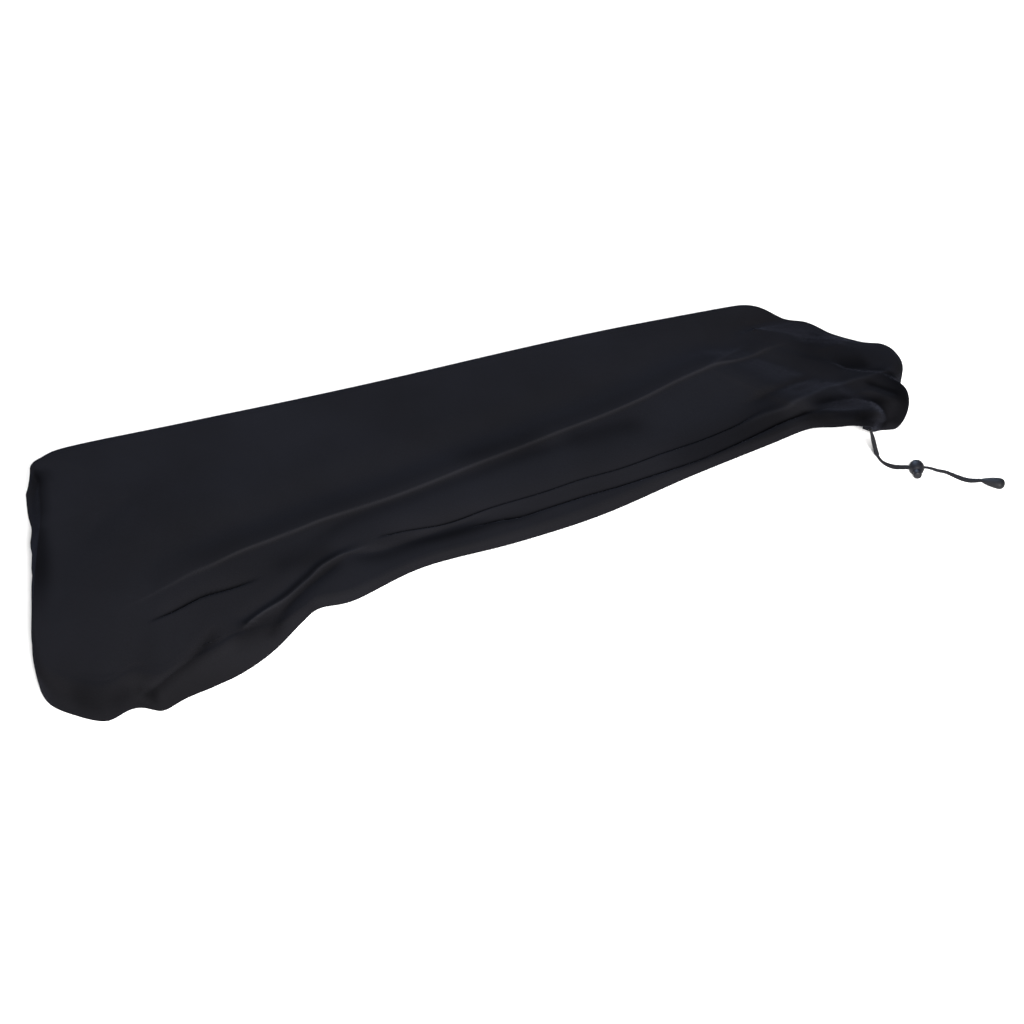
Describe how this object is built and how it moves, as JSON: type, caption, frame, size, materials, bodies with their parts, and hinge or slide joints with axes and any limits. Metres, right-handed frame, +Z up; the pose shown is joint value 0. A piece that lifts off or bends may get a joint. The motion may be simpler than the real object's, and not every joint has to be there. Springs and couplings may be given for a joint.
{
  "type": "piano cover",
  "caption": "Fitted stretch fabric cover for a digital piano, its gathered hem drawn back along the front, with a drawcord, a round cord lock and a drop shaped cord end.",
  "frame": {"origin": "underside of the cloth in the middle of the top, where the piano's top carries it", "axes": "+X along the length towards the end with the drawcord, +Y towards the rear wall, +Z up"},
  "size_m": [1.1429, 0.3988, 0.1044],
  "materials": {
    "cloth": "soft matt stretch knit, near black navy",
    "cord": "braided cord, near black",
    "lock": "moulded, slightly satin, near black",
    "end": "moulded, slightly satin, near black"
  },
  "bodies": {
    "root": {"cover_cloth": "cloth", "drawcord": "cord", "cord_lock": "lock", "cord_end": "end"}
  },
  "joints": []
}
